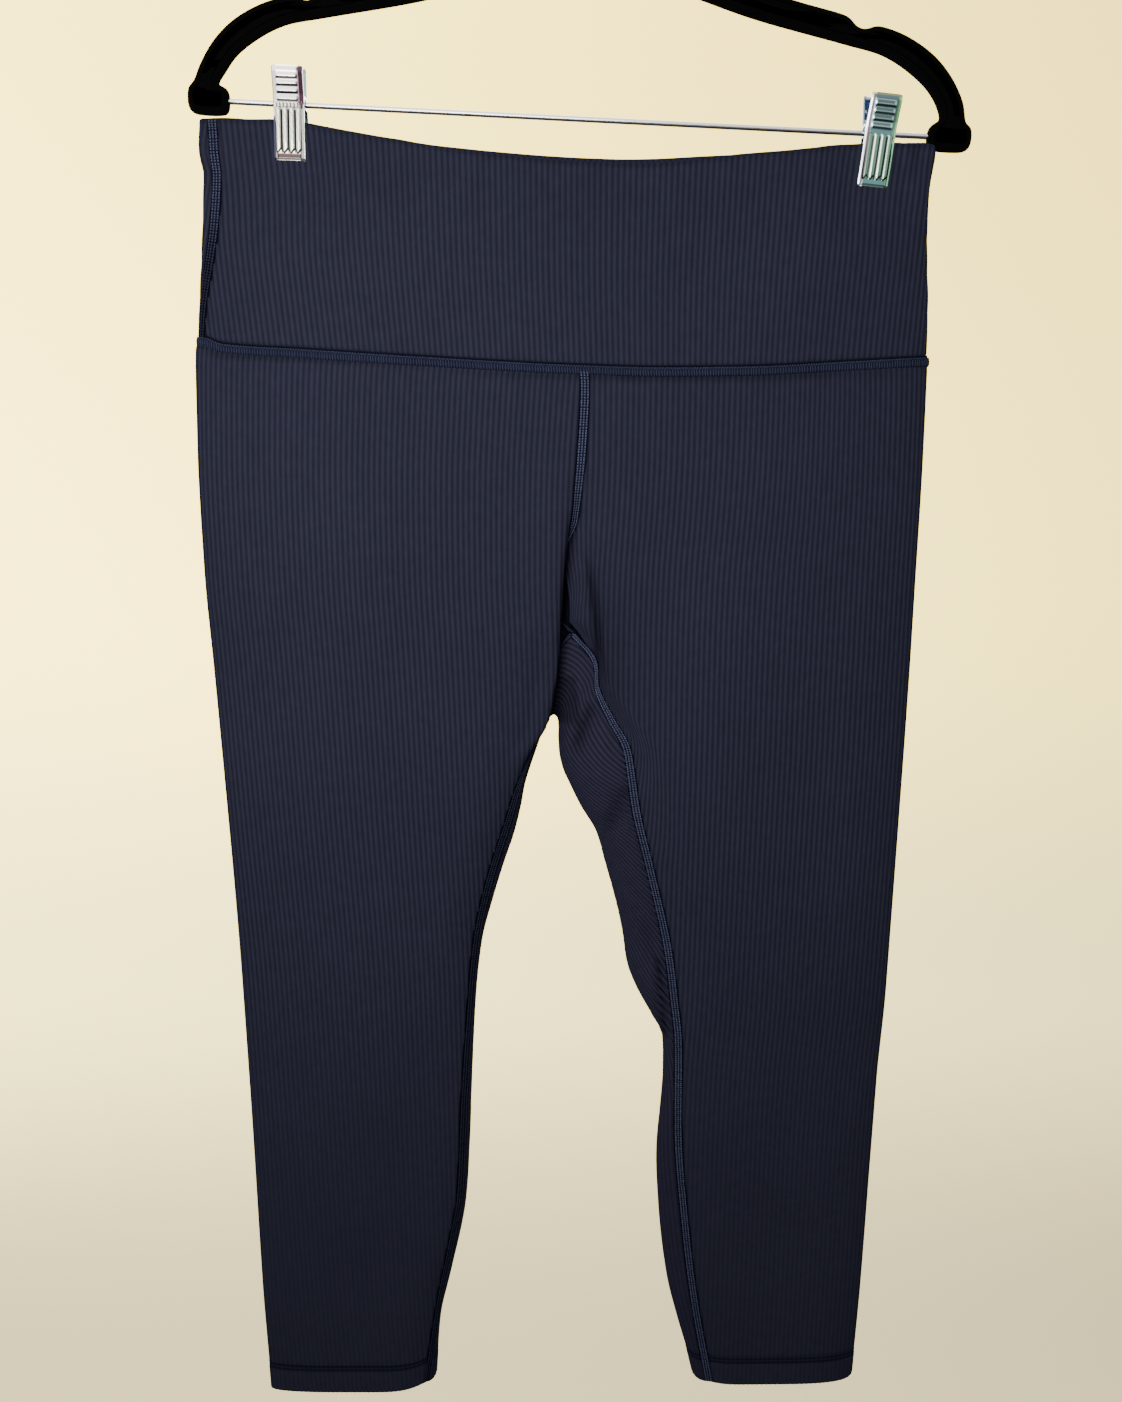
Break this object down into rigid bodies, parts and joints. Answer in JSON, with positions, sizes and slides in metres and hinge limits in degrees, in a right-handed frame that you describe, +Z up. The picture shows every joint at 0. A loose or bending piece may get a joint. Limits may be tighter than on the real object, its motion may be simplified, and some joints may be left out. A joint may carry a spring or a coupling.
{
  "type": "cropped leggings on a clip hanger",
  "caption": "High-waisted ribbed-knit cropped leggings hung flat by the waistband from a flocked hanger with a trouser bar and pressed metal clips.",
  "frame": {"origin": "inner top of the hanger's hook, where it rests on its rail", "axes": "+Z up, +X to the wearer's left side, the wearer's front faces -Y"},
  "size_m": [0.4551, 0.0466, 1.0885],
  "materials": {
    "rib_knit": "fine vertical rib jersey, navy, soft matt with a faint sheen",
    "thread": "blue polyester coverstitch thread",
    "velvet": "black flocked velvet over plastic",
    "chrome": "bright plated pressed steel and wire"
  },
  "bodies": {
    "root": {"waistband_front": "rib_knit", "waistband_back": "rib_knit", "leg_right": "rib_knit", "leg_left": "rib_knit", "gusset": "rib_knit", "hanger_body": "velvet", "hanger_hook": "chrome", "trouser_bar": "chrome", "clip_right_front": "chrome", "clip_right_back": "chrome", "clip_right_spring": "chrome", "clip_left_front": "chrome", "clip_left_back": "chrome", "clip_left_spring": "chrome"}
  },
  "joints": []
}
